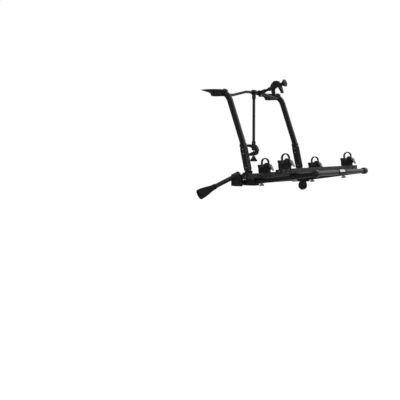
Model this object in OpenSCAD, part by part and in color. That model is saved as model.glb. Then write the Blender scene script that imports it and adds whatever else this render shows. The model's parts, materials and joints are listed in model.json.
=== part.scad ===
// Folding rack for two bikes, which hangs by its two hooks.
// The origin lies midway between the two hooks, on the faces that they rest with.
// As seen from the outer bar, +X runs to the right, +Y ahead to the hooks' tips and +Z up.

/* [Uprights] */
// Distance between the two uprights, centre to centre
upright_pitch = 940; // [860:10:1000]
// Depth of the upright tube, front to back
upright_depth = 50; // [44:1:54]
// Width of the upright tube
upright_width = 36; // [32:1:40]
// Corner radius of the upright tube
upright_corner_r = 10; // [6:1:13]
// Wall of every tube in the frame
tube_wall = 3; // [2:0.5:4]
// Slope of the tube where it leaves the hook, in degrees below level
neck_slope = 33; // [25:1:40]
// Radius of the bend below the hook
neck_bend_r = 150; // [120:5:180]
// Straight length of the upper tube
upper_length = 372; // [300:4:440]
// Lean of the upper tube from upright, in degrees
upper_lean = 20; // [17:1:23]
// Lean of the lower sleeve from upright, in degrees
lower_lean = 13; // [10:1:15]
// Length of the lower sleeve
sleeve_length = 252; // [200:4:320]
// Length of upper tube that sits in the lower sleeve
insert_length = 70; // [40:5:100]

/* [Hooks] */
// Width of a hook
hook_width = 70; // [60:1:84]
// Height of a hook's body above the face that it rests with
hook_height = 60; // [54:1:70]
// Front to back depth of a hook's body
hook_depth = 122; // [110:1:140]
// Reach of the blade past the hook's body
blade_reach = 104; // [70:1:120]
// Thickness of the rubber pad under a hook
pad_thickness = 4; // [2:0.5:6]

/* [Top crossbar] */
// Outer diameter of the top crossbar
top_bar_d = 25; // [22:0.5:28]
// Height that the crossbar's middle rises above its ends
top_bar_rise = 40; // [30:1:50]
// Length of the level middle of the crossbar
top_bar_level = 256; // [236:2:300]

/* [Lower crossbar] */
// Length of the lower crossbar past each upright's middle
lower_bar_overhang = 120; // [110:2:170]
// Depth of the lower crossbar, front to back
lower_bar_depth = 60; // [52:1:64]
// Height of the lower crossbar
lower_bar_height = 68; // [60:1:72]
// Corner radius of the lower crossbar
lower_bar_corner_r = 12; // [6:1:18]

/* [Foot arms] */
// Outer diameter of a foot arm
foot_arm_d = 41; // [34:1:44]
// Length of a foot arm
foot_arm_length = 300; // [270:5:360]
// Diameter of a rubber foot at its rim
foot_rim_d = 92; // [84:2:110]
// Length of a rubber foot
foot_length = 170; // [150:5:220]

/* [Platform] */
// Rise of the platform, in degrees above level
platform_tilt = 8; // [4:1:10]
// Length of a side arm, from fold pin to outer bar
side_arm_length = 619; // [580:1:680]
// Height of a side arm
side_arm_height = 42; // [36:1:44]
// Width of a side arm
side_arm_width = 38; // [32:1:40]
// Corner radius of a side arm
side_arm_corner_r = 12; // [8:1:15]
// Diameter of the fold pins
fold_pin_d = 12; // [10:1:16]
// Distance of the inner rail from the fold pin
inner_rail_place = 67; // [64:1:80]
// Distance between the two rails, centre to centre
rail_pitch = 337; // [300:1:360]
// Outer diameter of the outer bar
outer_bar_d = 45; // [38:1:48]

/* [Rails] */
// Length of a rail past each upright's middle, without its end cap
rail_overhang = 242; // [220:2:280]
// Width of a rail
rail_width = 66; // [62:1:70]
// Height of a rail
rail_height = 42; // [38:1:46]
// Wall of a rail
rail_wall = 3; // [2:0.5:4]
// Width of the lip along each edge of a rail
rail_lip = 7; // [5:0.5:9]

/* [Wheel holders] */
// Length of a wheel cradle along the rail
cradle_length = 64; // [54:1:66]
// Height of a cradle's cheeks above the rail
cradle_height = 80; // [70:1:90]
// Width across a cradle's cheeks
cradle_width = 100; // [96:1:102]
// Width of a wheel strap
strap_width = 22; // [18:1:24]
// Thickness of a wheel strap
strap_thickness = 3; // [2:0.5:4]
// Length of the loose end of a strap that is drawn tight on a wheel
tight_tail = 108; // [90:2:130]
// Length of the loose end of a strap in an empty holder
slack_tail = 60; // [40:2:90]

/* [Bike arms] */
// Outer diameter of a bike arm's tube
arm_tube_d = 27; // [24:0.5:29]
// Distance of the long arm's claw from the crossbar
long_arm_reach = 547; // [440:1:580]
// Distance of the short arm's claw from the crossbar
short_arm_reach = 190; // [180:1:300]
// Rise of the short arm, in degrees above level
short_arm_rise = 17; // [5:1:30]
// Width of a claw's jaws
jaw_width = 34; // [30:1:38]
// Diameter of a claw's knob at its wide end
knob_d = 66; // [54:1:70]
// Length of a claw's knob
knob_length = 40; // [34:1:54]

/* [Hidden] */
$fn = 64;

// Gap between pieces that stay still against each other
fit_gap = 0.3;
// Gap between a shaft and the hole that it turns in
running_gap = 0.06;
// Gap beside a piece that swings or slides
side_gap = 0.6;
// Overrun of a cut past the face that it opens
cut = 1;
// Run of a straight tube into its bend
bend_lap = 2;
// Height that a bend stands above the straight tube
bend_proud = 0.1;
$grow = 0;
// Steps in a rounded corner of an outline
corner_steps = 5;
// Rounding of cast corners
cast_r = 6;
// Rounding of moulded corners
mould_r = 4;
// Rounding of thin edges
edge_r = 1;

// Hooks and the bent line of the uprights, in the plane that each upright lies in
hook_front = 0.43 * hook_depth;
hook_back = hook_front - hook_depth;
neck_gap = 13;
blade_r = 3;
crown_r = 20;
throat_r = 10;
collar_wall = 8;
collar_inside = 20;
collar_outside = 5;
upper_slope = 90 - upper_lean;
lower_slope = 90 - lower_lean;
knee_bend_r = 2 * neck_bend_r;
neck_start = [hook_back - neck_gap, 0.45 * hook_height];
neck_end = neck_start + bend_step(neck_bend_r, neck_slope, upper_slope);
knee_start = neck_end + upper_length * heading(upper_slope);
knee_end = knee_start + bend_step(knee_bend_r, upper_slope, lower_slope);
sleeve_end = knee_end + sleeve_length * heading(lower_slope);
sleeve_depth = upright_depth + 2 * (fit_gap + tube_wall);
sleeve_width = upright_width + 2 * (fit_gap + tube_wall);
half_pitch = upright_pitch / 2;
lower_bar_length = upright_pitch + 2 * lower_bar_overhang;

// Top crossbar
top_bar_slope = 10;
top_bar_bend_r = 160;
top_bar_turn = neck_slope + 0.25 * (upper_slope - neck_slope);
top_bar_end = neck_start + bend_step(neck_bend_r, neck_slope, top_bar_turn);
top_bar_middle = top_bar_end + [0, top_bar_rise];
top_bar_half = half_pitch - upright_width / 2 - bend_proud;
top_bar_ramp = (top_bar_rise - 2 * top_bar_bend_r * (1 - cos(top_bar_slope))) / sin(top_bar_slope);
top_bar_run = top_bar_half - top_bar_level / 2 - 2 * top_bar_bend_r * sin(top_bar_slope)
    - top_bar_ramp * cos(top_bar_slope);

// Lower crossbar and the castings on it
casting_wall = 8;
boss_r = 8;
casting_width = sleeve_width + 20;
bar_drop = 48;
lower_bar = sleeve_end + [0.6 * lower_bar_depth, -lower_bar_height / 2 - bar_drop];
lower_bar_front = lower_bar.x - lower_bar_depth / 2;
lower_bar_top = lower_bar.y + lower_bar_height / 2;
fold_pin_out = 37;
fold_pin_drop = 60;
fold_pin = sleeve_end - [sleeve_depth / 2 + fold_pin_out, fold_pin_drop];
fold_boss_r = fold_pin_d / 2 + 13;
lug_r = fold_pin_d / 2 + 11;
pin_head_r = fold_pin_d / 2 + 4;
pin_head = 4;

// End clamps and foot arms
clamp_length = 62;
clamp_socket = 16;
clamp_margin = 8;
clamp_rib = 5;
boss_wall = 8;
boss_length = 64;
foot_arm_before = 40;
foot_arm_yaw = 30;
foot_arm_dip = 24;
foot_arm_rise = 14;
foot_arm_across = 27;
foot_socket = 42;
foot_neck_wall = 4;
foot_recess = 6;
foot_start = foot_arm_length - foot_arm_before - foot_socket;
foot_arm_place = [lower_bar_length / 2 + foot_arm_across, lower_bar.x, lower_bar_top + foot_arm_rise];
bolt_r = 4;
bolt_head_r = 7.5;
bolt_head = 5.5;
bolt_length = 24;

// Latch
latch_length = 280;
latch_wall = 8;
latch_rise = 30;
latch_skirt = 38;
latch_lever_length = 96;
latch_lever_drop = 52;
latch_lever_thickness = 6;
latch_pin_r = 4;

// Platform, measured from the fold pins along the side arms and square to them
arm_below_pin = 11.5;
arm_top = -arm_below_pin;
arm_middle = arm_top - side_arm_height / 2;
arm_bottom = arm_top - side_arm_height;
arm_back = lug_r + 2;
saddle_thickness = 8;
saddle_length = 50;
saddle_ear = 4;
rail_bottom = arm_top + saddle_thickness;
rail_top = rail_bottom + rail_height;
rail_floor = 4;
rail_length = upright_pitch + 2 * rail_overhang;
outer_rail_place = inner_rail_place + rail_pitch;
socket_wall = 8;
socket_length = side_arm_width + socket_wall;
outer_bar_length = upright_pitch + socket_length + 2 * fit_gap;
sleeve_wall = 4;
centre_sleeve_length = 150;
bar_cap_length = 14;
bar_cap_wall = 3;
rail_cap_length = 8;
cap_plug = 14;
wing_hub_r = 9;
wing_hub = 10;
wing_span = 22;
wing_height = 22;
wing_thickness = 5;
wing_turn = 125;
wing_shank_r = 4;

// Wheel holders
tyre_trough = 14;
holder_places = [
    [-0.4202 * upright_pitch, inner_rail_place],
    [0.5745 * upright_pitch, inner_rail_place],
    [-0.6543 * upright_pitch, outer_rail_place],
    [0.6064 * upright_pitch, outer_rail_place]
];
strap_tails = [tight_tail, tight_tail, slack_tail, slack_tail];
cheek_inner = 34;
cheek_outer = 49;
cheek_hump = 1.1 * cradle_height;
flare = 8;
flare_r = 12;
strap_leg = 13;
buckle_depth = 22;
buckle_height = 48;
buckle_wall = 3;
buckle_base = 22;
buckle_width = strap_width + 4 * buckle_wall + 2 * side_gap;
strap_outer = cradle_width / 2 + buckle_wall + strap_thickness / 2 + fit_gap;
strap_inner = 0.65 * cheek_inner;
lever_pin_r = 3;

// Bike arms
arm_ring_wall = 12;
arm_ring_width = 42;
arm_neck_length = 62;
arm_socket_wall = 5;
long_arm_x = -6;
long_turn = 0;
short_arm_x = 100;
short_turn = -90 - short_arm_rise;
jaw_pin_r = 4;
jaw_pin_back = 42;
jaw_knuckle_r = 13;
spindle_r = 5;
knob_gap = 64;
knob_neck = 12;
knob_flutes = 8;

// Direction of a line that falls by an angle below level as it runs away from the hooks
function heading(slope) = [-cos(slope), -sin(slope)];

// Travel of a bend that turns the line from one slope to another
function bend_step(r, from, to) = r * [sin(from) - sin(to), cos(to) - cos(from)];

// Outline with each corner replaced by a curve that starts r before it and ends r after it
function rounded(points, r, steps = corner_steps) = [
    for (i = [0 : len(points) - 1])
        let (
            here = points[i],
            before = points[(i + len(points) - 1) % len(points)],
            after = points[(i + 1) % len(points)],
            reach = is_list(r) ? r[i] : r,
            a = here + (before - here) * min(reach / norm(before - here), 0.48),
            b = here + (after - here) * min(reach / norm(after - here), 0.48)
        )
        for (k = [0 : steps])
            let (s = k / steps)
            (1 - s) * (1 - s) * a + 2 * s * (1 - s) * here + s * s * b
];

// Rectangle about the centre with round corners
module rounded_box(w, h, r) {
    x = w / 2 + $grow;
    y = h / 2 + $grow;
    polygon(rounded([[-x, -y], [x, -y], [x, y], [-x, y]], r));
}

// Wall of a tube with round corners
module box_section(w, h, r, wall) {
    difference() {
        rounded_box(w, h, r);
        rounded_box(w - 2 * wall, h - 2 * wall, r - wall);
    }
}

// Wall of a round tube
module pipe_section(d, wall) {
    difference() {
        circle(d / 2);
        circle(d / 2 - wall);
    }
}

// Section swept along a flat line of [length, bend radius, bend angle] steps that starts along +X.
// The straights run a little way into the bends, which are a hair larger, so that they join.
module swept(steps, i = 0) {
    length = steps[i][0];
    r = steps[i][1];
    turn = steps[i][2];
    side = turn < 0 ? 1 : 0;
    last = i == len(steps) - 1;
    lap_before = i > 0 ? bend_lap : 0;
    lap_after = last ? 0 : bend_lap;
    translate([-lap_before, 0, 0]) rotate([90, 0, 90])
        linear_extrude(length + lap_before + lap_after) children($grow = 0);
    if (!last)
        translate([length, 0, 0]) mirror([0, side, 0]) {
            translate([0, r, 0]) rotate([0, 0, -90])
                rotate_extrude(angle = abs(turn)) translate([r, 0]) children($grow = bend_proud);
            translate([r * sin(abs(turn)), r * (1 - cos(turn)), 0])
                rotate([0, 0, abs(turn)]) mirror([0, side, 0]) swept(steps, i + 1) children();
        }
}

// Plate of the given width about x, whose outline is drawn front to back and up
module plate(x, width) {
    translate([x - width / 2, 0, 0]) rotate([90, 0, 90]) linear_extrude(width) children();
}

// Rod along X about x
module rod(x, length, r) {
    translate([x - length / 2, 0, 0]) rotate([0, 90, 0]) cylinder(r = r, h = length);
}

// Puts a child whose line runs along +X at a point of the upright, falling at a slope
module along_upright(side, point, slope) {
    translate([side * half_pitch, point.x, point.y])
        rotate([-90, 0, -90]) rotate([0, 0, slope]) children();
}

// Right side as drawn, left side as its mirror image
module on_side(side) {
    mirror([side < 0 ? 1 : 0, 0, 0]) children();
}

module hook(side) {
    outline = [
        [hook_front + blade_reach, 1.06 * hook_height],
        [hook_front + 0.3 * blade_reach, 1.1 * hook_height],
        [0.3 * hook_front, 1.08 * hook_height],
        [hook_back, hook_height],
        [hook_back, pad_thickness],
        [0.86 * hook_front, pad_thickness],
        [hook_front, 0.44 * hook_height],
        [hook_front + 0.24 * blade_reach, 0.6 * hook_height],
        [hook_front + blade_reach, 0.97 * hook_height]
    ];
    bends = [blade_r, crown_r, crown_r, cast_r, cast_r, cast_r, throat_r, throat_r, blade_r];
    pocket = [
        [0.55 * hook_front, 0.28 * hook_height],
        [0.55 * hook_front, 0.84 * hook_height],
        [-0.55 * hook_front, 0.8 * hook_height],
        [-0.55 * hook_front, 0.28 * hook_height]
    ];
    pocket_depth = 0.12 * hook_width;
    color("dimgray") difference() {
        union() {
            plate(side * half_pitch, hook_width)
                polygon(rounded(outline, bends));
            along_upright(side, neck_start, neck_slope)
                translate([-collar_inside, 0, 0]) rotate([90, 0, 90])
                    linear_extrude(collar_inside + collar_outside)
                        rounded_box(upright_depth + 2 * collar_wall, upright_width + 2 * collar_wall,
                            upright_corner_r);
        }
        for (x = [-1, 1])
            plate(side * half_pitch + x * hook_width / 2, 2 * pocket_depth)
                polygon(rounded(pocket, cast_r));
        along_upright(side, neck_start, neck_slope)
            translate([-collar_inside, 0, 0]) rotate([90, 0, 90])
                linear_extrude(collar_inside + collar_outside + cut)
                    rounded_box(upright_depth + 2 * fit_gap, upright_width + 2 * fit_gap,
                        upright_corner_r + fit_gap);
    }
}

module hook_pads() {
    start = hook_back + 2.4 * cast_r;
    length = 0.8 * hook_front - start;
    groove = pad_thickness / 3;
    grooves = 5;
    color("black") for (side = [-1, 1])
        translate([side * half_pitch, 0, 0]) difference() {
            translate([-hook_width / 2 + cast_r / 2, start, 0])
                cube([hook_width - cast_r, length, pad_thickness]);
            for (k = [1 : grooves])
                translate([0, start + length * k / (grooves + 1), -cut])
                    translate([-hook_width, -groove / 2, 0])
                        cube([2 * hook_width, groove, groove + cut]);
        }
}

module upright(side) {
    start = collar_inside - fit_gap;
    steps = [
        [start, neck_bend_r, upper_slope - neck_slope],
        [upper_length, knee_bend_r, lower_slope - upper_slope],
        [insert_length, 0, 0]
    ];
    color("#2a2b2d") along_upright(side, neck_start, neck_slope) translate([-start, 0, 0])
        difference() {
            swept(steps) rounded_box(upright_depth, upright_width, upright_corner_r);
            swept(steps) rounded_box(upright_depth - 2 * tube_wall, upright_width - 2 * tube_wall,
                upright_corner_r - tube_wall / 2);
        }
}

module lower_sleeve(side) {
    lip = 3;
    lip_length = 26;
    r = upright_corner_r + tube_wall;
    color("#222325") along_upright(side, knee_end, lower_slope) {
        translate([fit_gap, 0, 0]) rotate([90, 0, 90]) linear_extrude(sleeve_length - fit_gap)
            box_section(sleeve_depth, sleeve_width, r, tube_wall);
        translate([fit_gap, 0, 0]) rotate([90, 0, 90]) linear_extrude(lip_length)
            box_section(sleeve_depth + 2 * lip, sleeve_width + 2 * lip, r + lip, tube_wall + lip);
    }
}

module top_crossbar() {
    steps = [
        [top_bar_run, top_bar_bend_r, top_bar_slope],
        [top_bar_ramp, top_bar_bend_r, -top_bar_slope],
        [top_bar_level, top_bar_bend_r, -top_bar_slope],
        [top_bar_ramp, top_bar_bend_r, top_bar_slope],
        [top_bar_run, 0, 0]
    ];
    color("#2a2b2d") translate([-top_bar_half, top_bar_end.x, top_bar_end.y]) rotate([90, 0, 0])
        difference() {
            swept(steps) circle(top_bar_d / 2 + $grow);
            swept(steps) circle(top_bar_d / 2 - tube_wall + $grow);
        }
}

module lower_crossbar() {
    color("#26272a") translate([0, lower_bar.x, lower_bar.y])
        plate(0, lower_bar_length)
            box_section(lower_bar_depth, lower_bar_height, lower_bar_corner_r, tube_wall);
}

// Puts a child whose line runs along +X on the axis of the right foot arm
module along_foot_arm() {
    translate(foot_arm_place) rotate([0, foot_arm_dip, foot_arm_yaw]) children();
}

module end_clamp(side) {
    width = lower_bar_depth + 2 * clamp_margin;
    height = lower_bar_height + 2 * clamp_margin;
    start = lower_bar_length / 2 - clamp_socket;
    color("#1d1e20") on_side(side) difference() {
        union() {
            translate([0, lower_bar.x, lower_bar.y]) {
                plate(start + clamp_length / 2, clamp_length) rounded_box(width, height, clamp_margin);
                for (x = [0, 2.4 * clamp_rib])
                    plate(start + x + clamp_rib / 2, clamp_rib)
                        rounded_box(width + 2 * clamp_rib, height + 2 * clamp_rib, clamp_margin);
            }
            along_foot_arm() rod(0, boss_length, foot_arm_d / 2 + boss_wall);
        }
        translate([0, lower_bar.x, lower_bar.y])
            plate(start + clamp_socket / 2 - cut / 2, clamp_socket + cut + 2 * fit_gap)
                rounded_box(lower_bar_depth + 2 * fit_gap, lower_bar_height + 2 * fit_gap,
                    lower_bar_corner_r + fit_gap);
        along_foot_arm() rod(0, 2 * clamp_length, foot_arm_d / 2 + running_gap);
        for (z = [-1, 1])
            translate([start + clamp_length / 2, lower_bar.x - width / 2 - cut,
                lower_bar.y + z * lower_bar_height / 4])
                rotate([-90, 0, 0]) cylinder(r = bolt_r + fit_gap, h = bolt_length + cut + fit_gap);
    }
}

module clamp_bolts() {
    face = lower_bar.x - lower_bar_depth / 2 - clamp_margin;
    x = lower_bar_length / 2 - clamp_socket + clamp_length / 2;
    color("silver") for (side = [-1, 1], z = [-1, 1])
        translate([side * x, face, lower_bar.y + z * lower_bar_height / 4]) rotate([-90, 0, 0]) {
            translate([0, 0, -bolt_head]) cylinder(r = bolt_head_r, h = bolt_head, $fn = 6);
            cylinder(r = bolt_r, h = bolt_length);
        }
}

module foot_arm(side) {
    color("#2a2b2d") on_side(side) along_foot_arm()
        translate([-foot_arm_before, 0, 0]) rotate([90, 0, 90])
            linear_extrude(foot_arm_length) pipe_section(foot_arm_d, tube_wall);
}

module foot(side) {
    neck_r = foot_arm_d / 2 + foot_neck_wall;
    rim_r = foot_rim_d / 2;
    rim_band = 0.06 * foot_length;
    flare_steps = 9;
    flare = [for (k = [0 : flare_steps]) let (s = k / flare_steps)
        [neck_r + (rim_r - neck_r) * pow(sin(90 * s), 1.6), foot_length * (0.1 + 0.84 * s)]];
    color("#161718") on_side(side) along_foot_arm() translate([foot_start, 0, 0]) rotate([0, 90, 0])
        difference() {
            rotate_extrude() polygon(concat(
                [[0, 0], [neck_r, 0]], flare, [[rim_r, foot_length], [0, foot_length]]));
            translate([0, 0, -cut])
                cylinder(r = foot_arm_d / 2 + fit_gap, h = foot_socket + cut + fit_gap);
            translate([0, 0, foot_length - foot_recess])
                cylinder(r = rim_r - rim_band, h = foot_recess + cut);
        }
}

// Puts a child in the platform's own lines: -Y along the side arms and +Z square to them
module on_platform() {
    translate([0, fold_pin.x, fold_pin.y]) rotate([-platform_tilt, 0, 0]) children();
}

module hinge_housing(side) {
    along = heading(lower_slope);
    across = [along.y, -along.x];
    front_top = sleeve_end + across * sleeve_depth / 2;
    back_top = sleeve_end - across * sleeve_depth / 2;
    bar_back = lower_bar.x + lower_bar_depth / 2 + casting_wall;
    bar_bottom = lower_bar.y - lower_bar_height / 2 - casting_wall;
    boss_top = fold_pin + [0, fold_boss_r];
    boss_front = fold_pin - [fold_boss_r, 0];
    outline = [
        front_top,
        [front_top.x + 0.1 * sleeve_depth, boss_top.y + 0.3 * fold_boss_r],
        boss_top,
        [boss_front.x, boss_top.y],
        boss_front,
        [boss_front.x - 0.7 * fold_boss_r, bar_bottom + casting_wall],
        [boss_front.x - 0.3 * fold_boss_r, bar_bottom],
        [bar_back, bar_bottom],
        [bar_back, lower_bar_top + casting_wall],
        back_top
    ];
    bends = [0, boss_r, throat_r, throat_r, throat_r, boss_r, boss_r, cast_r, throat_r, 0];
    spigot = 0.5 * insert_length;
    spigot_wall = tube_wall + fit_gap;
    color("#1d1e20") difference() {
        union() {
            plate(side * half_pitch, casting_width)
                polygon(rounded(outline, bends));
            along_upright(side, sleeve_end, lower_slope) translate([-spigot, 0, 0])
                rotate([90, 0, 90]) linear_extrude(spigot + casting_wall)
                    rounded_box(sleeve_depth - 2 * spigot_wall, sleeve_width - 2 * spigot_wall,
                        upright_corner_r - fit_gap);
        }
        translate([0, lower_bar.x, lower_bar.y])
            plate(side * half_pitch, casting_width + 2 * cut)
                rounded_box(lower_bar_depth + 2 * fit_gap, lower_bar_height + 2 * fit_gap,
                    lower_bar_corner_r + fit_gap);
        on_platform() translate([side * half_pitch - side_arm_width / 2 - side_gap,
            arm_back - side_arm_length, -side_arm_length])
            cube([side_arm_width + 2 * side_gap, side_arm_length, 2 * side_arm_length]);
        translate([0, fold_pin.x, fold_pin.y])
            rod(side * half_pitch, casting_width + 2 * cut, fold_pin_d / 2 + running_gap);
    }
}

module hinge_pins() {
    color("silver") for (side = [-1, 1])
        translate([0, fold_pin.x, fold_pin.y]) {
            rod(side * half_pitch, casting_width + 2 * fit_gap, fold_pin_d / 2);
            for (end = [-1, 1])
                rod(side * half_pitch + end * (casting_width / 2 + fit_gap + pin_head / 2),
                    pin_head, pin_head_r);
        }
}

module latch_housing() {
    front = lower_bar_front - latch_wall;
    outline = [
        [front, lower_bar_top - latch_skirt],
        [lower_bar_front - fit_gap, lower_bar_top - latch_skirt],
        [lower_bar_front - fit_gap, lower_bar_top + fit_gap],
        [lower_bar.x + 0.42 * lower_bar_depth, lower_bar_top + fit_gap],
        [lower_bar.x + 0.36 * lower_bar_depth, lower_bar_top + 0.7 * latch_rise],
        [lower_bar.x + 0.1 * lower_bar_depth, lower_bar_top + latch_rise],
        [lower_bar.x - 0.3 * lower_bar_depth, lower_bar_top + latch_rise],
        [front, lower_bar_top + 0.7 * latch_rise]
    ];
    pocket = [0, front, lower_bar_top + 0.4 * latch_rise];
    color("#1a1b1d") difference() {
        plate(0, latch_length)
            polygon(rounded(outline, [edge_r, 0, 0, edge_r, cast_r, cast_r, boss_r, boss_r]));
        translate(pocket + [-latch_lever_length / 2 - side_gap, -cut, -latch_lever_drop - cut])
            cube([latch_lever_length + 2 * side_gap, latch_wall - latch_wall / 4 + cut,
                latch_lever_drop + latch_pin_r + 2 * side_gap + cut]);
        translate(pocket + [0, latch_wall / 4, 0])
            rod(0, latch_lever_length + 4 * latch_pin_r, latch_pin_r / 2 + running_gap);
    }
}

module latch_lever() {
    front = lower_bar_front - latch_wall;
    outline = [
        [-latch_wall / 4, latch_pin_r],
        [-latch_lever_thickness, 0],
        [-latch_lever_thickness, -0.6 * latch_lever_drop],
        [-1.6 * latch_lever_thickness, -latch_lever_drop],
        [-latch_lever_thickness, -latch_lever_drop],
        [0, -0.6 * latch_lever_drop],
        [latch_wall / 4, -latch_pin_r],
        [latch_wall / 4, latch_pin_r]
    ];
    color("#3a3b3d") translate([0, front, lower_bar_top + 0.4 * latch_rise]) {
        plate(0, latch_lever_length) polygon(rounded(outline,
            [edge_r, blade_r, boss_r, edge_r, edge_r, boss_r, edge_r, edge_r]));
        translate([0, latch_wall / 4, 0])
            rod(0, latch_lever_length + 3 * latch_pin_r, latch_pin_r / 2);
    }
}

module side_arm(side) {
    end = arm_back - fit_gap;
    socket_r = outer_bar_d / 2 + socket_wall;
    x = side * half_pitch;
    color("#232427") on_platform() difference() {
        union() {
            translate([x, end, arm_middle]) rotate([90, 0, 0]) linear_extrude(side_arm_length + end)
                rounded_box(side_arm_width, side_arm_height, side_arm_corner_r);
            rod(x, side_arm_width, lug_r);
            plate(x, side_arm_width) polygon([
                [lug_r, 0], [-lug_r, 0], [-2 * lug_r, arm_middle], [lug_r, arm_middle]
            ]);
            translate([0, -side_arm_length, arm_middle]) rod(x, socket_length, socket_r);
        }
        rod(x, side_arm_width + 2 * cut, fold_pin_d / 2 + running_gap);
        translate([0, -side_arm_length, arm_middle])
            rod(x, socket_length + 2 * cut, outer_bar_d / 2 + fit_gap);
        for (place = [inner_rail_place, outer_rail_place])
            translate([x, -place, arm_bottom - cut])
                cylinder(r = wing_shank_r + fit_gap, h = side_arm_height + 2 * cut);
    }
}

module outer_bar() {
    color("#2a2b2d") on_platform() translate([0, -side_arm_length, arm_middle])
        plate(0, outer_bar_length) pipe_section(outer_bar_d, tube_wall);
}

module centre_sleeve() {
    color("#1d1e20") on_platform() translate([0, -side_arm_length, arm_middle])
        plate(0, centre_sleeve_length)
            pipe_section(outer_bar_d + 2 * fit_gap + 2 * sleeve_wall, sleeve_wall);
}

// Cross section of a rail, with its floor on the line y = 0
module rail_section() {
    half = rail_width / 2;
    foot = 0.5 * rail_wall;
    polygon([
        [-half, 0], [-half + 2 * rail_lip, 0], [-half + 2 * rail_lip, foot],
        [half - 2 * rail_lip, foot], [half - 2 * rail_lip, 0], [half, 0],
        [half, 0.24 * rail_height], [half - foot, 0.28 * rail_height],
        [half - foot, 0.44 * rail_height], [half, 0.48 * rail_height],
        [half, rail_height - foot], [half - foot, rail_height],
        [half - rail_lip, rail_height], [half - rail_lip, rail_height - rail_wall],
        [half - rail_wall - foot, rail_height - rail_wall], [half - rail_wall - foot, rail_floor + foot],
        [half - rail_wall - 2 * foot, rail_floor],
        [-half + rail_wall + 2 * foot, rail_floor], [-half + rail_wall + foot, rail_floor + foot],
        [-half + rail_wall + foot, rail_height - rail_wall], [-half + rail_lip, rail_height - rail_wall],
        [-half + rail_lip, rail_height], [-half + foot, rail_height], [-half, rail_height - foot],
        [-half, 0.48 * rail_height], [-half + foot, 0.44 * rail_height],
        [-half + foot, 0.28 * rail_height], [-half, 0.24 * rail_height]
    ]);
}

module rail(place) {
    color("#2b2c2f") on_platform() difference() {
        translate([0, -place, rail_bottom]) plate(0, rail_length) rail_section();
        for (side = [-1, 1])
            translate([side * half_pitch, -place, rail_bottom - cut])
                cylinder(r = wing_shank_r + fit_gap, h = rail_floor + 2 * cut);
    }
}

module end_caps() {
    plug_width = rail_width - 2 * rail_lip - 2 * fit_gap;
    cap_r = outer_bar_d / 2 + bar_cap_wall;
    color("#141516") on_platform() on_both_ends() {
        for (place = [inner_rail_place, outer_rail_place])
            translate([rail_length / 2, -place, rail_bottom]) {
                translate([0, 0, rail_height / 2]) plate(rail_cap_length / 2, rail_cap_length)
                    rounded_box(rail_width, rail_height, mould_r);
                translate([-cap_plug, -plug_width / 2, rail_floor + fit_gap])
                    cube([cap_plug, plug_width, rail_height - rail_wall - rail_floor - 2 * fit_gap]);
            }
        translate([outer_bar_length / 2, -side_arm_length, arm_middle]) rotate([0, 90, 0]) {
            rotate_extrude() polygon([
                [0, 0], [cap_r, 0], [cap_r, 0.45 * bar_cap_length],
                [0.94 * cap_r, 0.8 * bar_cap_length], [0.8 * cap_r, bar_cap_length], [0, bar_cap_length]
            ]);
            translate([0, 0, -cap_plug]) cylinder(r = outer_bar_d / 2 - tube_wall - fit_gap, h = cap_plug);
        }
    }
}

// A child drawn at the right end, and its mirror image at the left end
module on_both_ends() {
    children();
    mirror([1, 0, 0]) children();
}

module rail_saddles() {
    half = rail_width / 2 + fit_gap;
    ear_top = saddle_thickness + 2 * saddle_ear;
    color("#1d1e20") on_platform() for (side = [-1, 1], place = [inner_rail_place, outer_rail_place])
        translate([side * half_pitch, -place, arm_top]) difference() {
            plate(0, saddle_length) polygon([
                [-half - saddle_ear, 0], [half + saddle_ear, 0],
                [half + saddle_ear, ear_top], [half, ear_top],
                [half, saddle_thickness], [-half, saddle_thickness],
                [-half, ear_top], [-half - saddle_ear, ear_top]
            ]);
            translate([0, 0, -cut]) cylinder(r = wing_shank_r + fit_gap, h = saddle_thickness + 2 * cut);
        }
}

module wing_bolt(side, place) {
    wing = [
        [wing_hub_r / 2, 0], [wing_span, 0.35 * wing_height], [wing_span, wing_height],
        [0.8 * wing_span, wing_height], [wing_hub_r / 2, wing_hub]
    ];
    color("#8d9093") on_platform() translate([side * half_pitch, -place, arm_bottom - fit_gap]) {
        mirror([0, 0, 1]) {
            cylinder(r = wing_hub_r, h = wing_hub);
            for (turn = [0, 180]) rotate([0, 0, turn + wing_turn]) rotate([90, 0, 0])
                translate([0, 0, -wing_thickness / 2]) linear_extrude(wing_thickness)
                    polygon(rounded(wing, [0, cast_r, mould_r, blade_r, 0]));
        }
        cylinder(r = wing_shank_r, h = fit_gap + side_arm_height + saddle_thickness + rail_floor / 2);
    }
}

// Puts a child at a wheel holder, with its origin in the middle of the rail at the rail's top
module on_holder(i) {
    place = holder_places[i];
    on_platform() translate([place.x, -place.y, rail_top]) children();
}

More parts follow.
